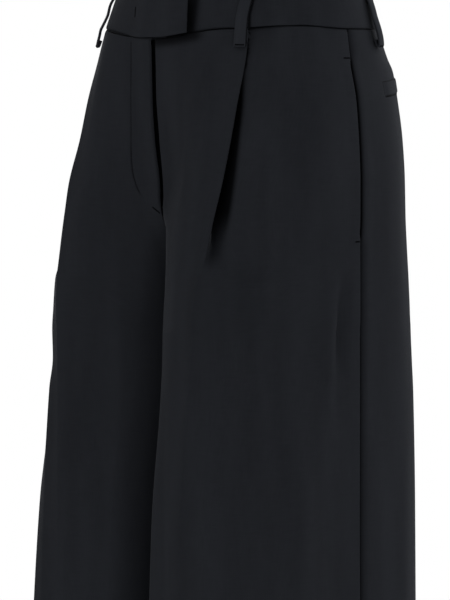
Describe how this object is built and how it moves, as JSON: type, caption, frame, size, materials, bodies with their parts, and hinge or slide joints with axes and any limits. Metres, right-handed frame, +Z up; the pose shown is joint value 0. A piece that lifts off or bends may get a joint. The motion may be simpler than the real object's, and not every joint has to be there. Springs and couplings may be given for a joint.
{
  "type": "palazzo trousers",
  "caption": "High-waisted black palazzo trousers with pleated fronts, a lapped tab waistband, belt loops, side-seam pockets and wide straight legs, in hollow worn form.",
  "frame": {"origin": "middle of the waistband's hollow, half way up the band, where the wearer's waist holds the trousers", "axes": "+Z up, +Y to the wearer's back, +X to the wearer's left"},
  "size_m": [0.3624, 0.311, 1.0604],
  "materials": {
    "black_wool": "matte black suiting wool with a fine weave and a faint blue cast"
  },
  "bodies": {
    "root": {"front_left": "black_wool", "front_right": "black_wool", "back_left": "black_wool", "back_right": "black_wool", "waistband": "black_wool", "fly_shield": "black_wool", "pocket_facing_left": "black_wool", "pocket_facing_right": "black_wool", "back_welt_left": "black_wool", "back_welt_right": "black_wool", "belt_loop_front_left": "black_wool", "belt_loop_front_right": "black_wool", "belt_loop_side_left": "black_wool", "belt_loop_side_right": "black_wool", "belt_loop_back": "black_wool"}
  },
  "joints": []
}
